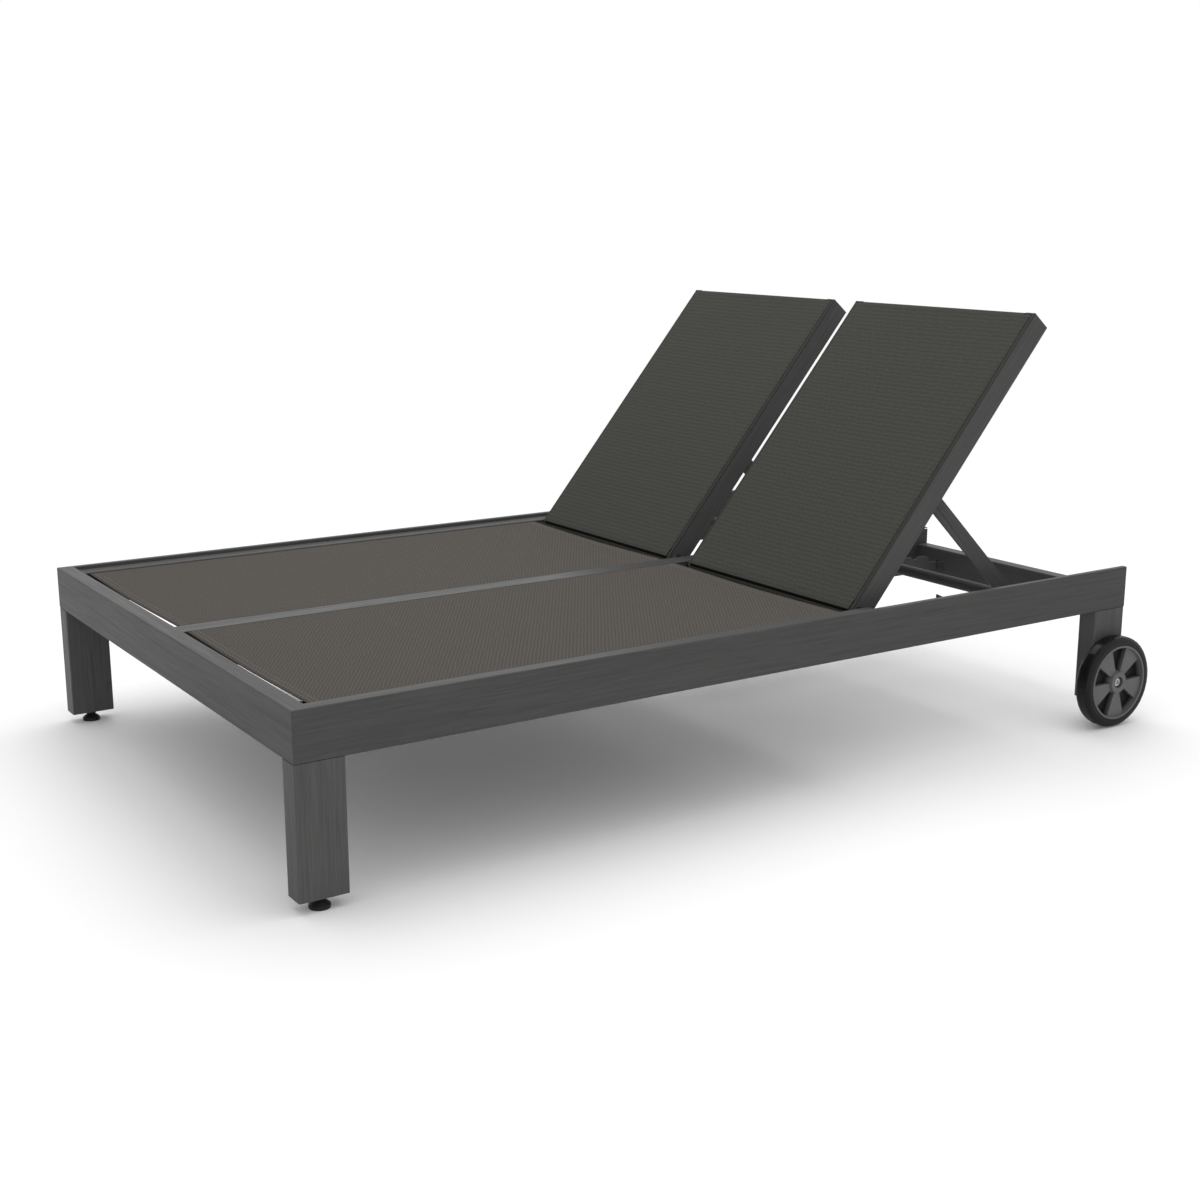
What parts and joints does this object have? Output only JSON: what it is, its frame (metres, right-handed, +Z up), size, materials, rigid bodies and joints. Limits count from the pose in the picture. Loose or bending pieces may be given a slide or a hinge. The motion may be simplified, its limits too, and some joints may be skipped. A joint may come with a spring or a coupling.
{
  "type": "double chaise lounger",
  "caption": "Double chaise lounger with flat sling seats, a centre rail, separately reclining sling backrests on notched props, and wheels at the head end.",
  "frame": {"origin": "middle of the footprint on the floor, under the bounding box's centre", "axes": "+Z up, +X from the foot end to the head end, +Y from the near side to the far side"},
  "size_m": [2.0104, 1.364, 0.9018],
  "materials": {
    "wood_grain_aluminium": "satin",
    "brushed_aluminium": "satin",
    "painted_metal": "satin",
    "steel_hardware": "satin",
    "sling_fabric": "matte",
    "black_plastic": "matte",
    "wheel_plastic": "satin",
    "tyre_rubber": "satin"
  },
  "bodies": {
    "frame": {"axle_bolts": "steel_hardware", "axle_nuts": "steel_hardware", "axle_washers": "steel_hardware", "centre_rail": "wood_grain_aluminium", "far_foot_leg": "wood_grain_aluminium", "far_head_leg": "wood_grain_aluminium", "far_racks": "painted_metal", "far_seat_bars": "painted_metal", "far_seat_sling": "sling_fabric", "far_side_rail": "wood_grain_aluminium", "far_sling_rail": "wood_grain_aluminium", "foot_gussets": "painted_metal", "foot_rail": "wood_grain_aluminium", "head_rail": "wood_grain_aluminium", "hinge_pins": "steel_hardware", "hinge_washers": "black_plastic", "leg_bolts": "steel_hardware", "leg_brackets": "painted_metal", "leg_inserts": "black_plastic", "near_foot_leg": "wood_grain_aluminium", "near_head_leg": "wood_grain_aluminium", "near_racks": "painted_metal", "near_seat_bars": "painted_metal", "near_seat_sling": "sling_fabric", "near_side_rail": "wood_grain_aluminium", "near_sling_rail": "wood_grain_aluminium", "rack_screws": "steel_hardware", "seat_sling_rods": "black_plastic"},
    "near_back": {"near_back_outer_member": "brushed_aluminium", "near_back_inner_member": "brushed_aluminium", "near_back_member_caps": "black_plastic", "near_hinge_bushes": "black_plastic", "near_back_bottom_tube": "brushed_aluminium", "near_back_top_bar": "brushed_aluminium", "near_back_spreader": "brushed_aluminium", "near_back_sling": "sling_fabric", "near_back_sling_rods": "black_plastic", "near_prop_bolts": "steel_hardware"},
    "near_prop": {"near_prop_arms": "brushed_aluminium", "near_prop_tube": "brushed_aluminium"},
    "near_wheel": {"near_tyre": "tyre_rubber", "near_wheel_rim": "wheel_plastic", "near_wheel_bush": "black_plastic"},
    "near_glide_foot": {"near_glide": "black_plastic"},
    "far_back": {"far_back_outer_member": "brushed_aluminium", "far_back_inner_member": "brushed_aluminium", "far_back_member_caps": "black_plastic", "far_hinge_bushes": "black_plastic", "far_back_bottom_tube": "brushed_aluminium", "far_back_top_bar": "brushed_aluminium", "far_back_spreader": "brushed_aluminium", "far_back_sling": "sling_fabric", "far_back_sling_rods": "black_plastic", "far_prop_bolts": "steel_hardware"},
    "far_prop": {"far_prop_arms": "brushed_aluminium", "far_prop_tube": "brushed_aluminium"},
    "far_wheel": {"far_tyre": "tyre_rubber", "far_wheel_rim": "wheel_plastic", "far_wheel_bush": "black_plastic"},
    "far_glide_foot": {"far_glide": "black_plastic"}
  },
  "joints": [
    {"name": "near_back_hinge", "type": "hinge", "parent": "frame", "child": "near_back", "pos_m": [0.22325, -0.3, 0.3308], "axis": [0, -1, 0], "range_deg": [-50, 10]},
    {"name": "near_prop_hinge", "type": "hinge", "parent": "near_back", "child": "near_prop", "pos_m": [0.42022, -0.3, 0.5531], "axis": [0, -1, 0], "range_deg": [-19, 91]},
    {"name": "near_wheel_spin", "type": "hinge", "parent": "frame", "child": "near_wheel", "pos_m": [0.90375, -0.639, 0.1015], "axis": [0, 1, 0], "continuous": true},
    {"name": "near_glide_screw", "type": "slide", "parent": "frame", "child": "near_glide_foot", "axis": [0, 0, -1], "range_m": [0, 0.012]},
    {"name": "far_back_hinge", "type": "hinge", "parent": "frame", "child": "far_back", "pos_m": [0.22325, 0.3, 0.3308], "axis": [0, -1, 0], "range_deg": [-50, 10]},
    {"name": "far_prop_hinge", "type": "hinge", "parent": "far_back", "child": "far_prop", "pos_m": [0.42022, 0.3, 0.5531], "axis": [0, -1, 0], "range_deg": [-19, 91]},
    {"name": "far_wheel_spin", "type": "hinge", "parent": "frame", "child": "far_wheel", "pos_m": [0.90375, 0.639, 0.1015], "axis": [0, 1, 0], "continuous": true},
    {"name": "far_glide_screw", "type": "slide", "parent": "frame", "child": "far_glide_foot", "axis": [0, 0, -1], "range_m": [0, 0.012]}
  ],
  "couplings": [
    {"joint": "near_prop_hinge", "follows": "near_back_hinge", "ratio": -1.8},
    {"joint": "far_prop_hinge", "follows": "far_back_hinge", "ratio": -1.8}
  ]
}
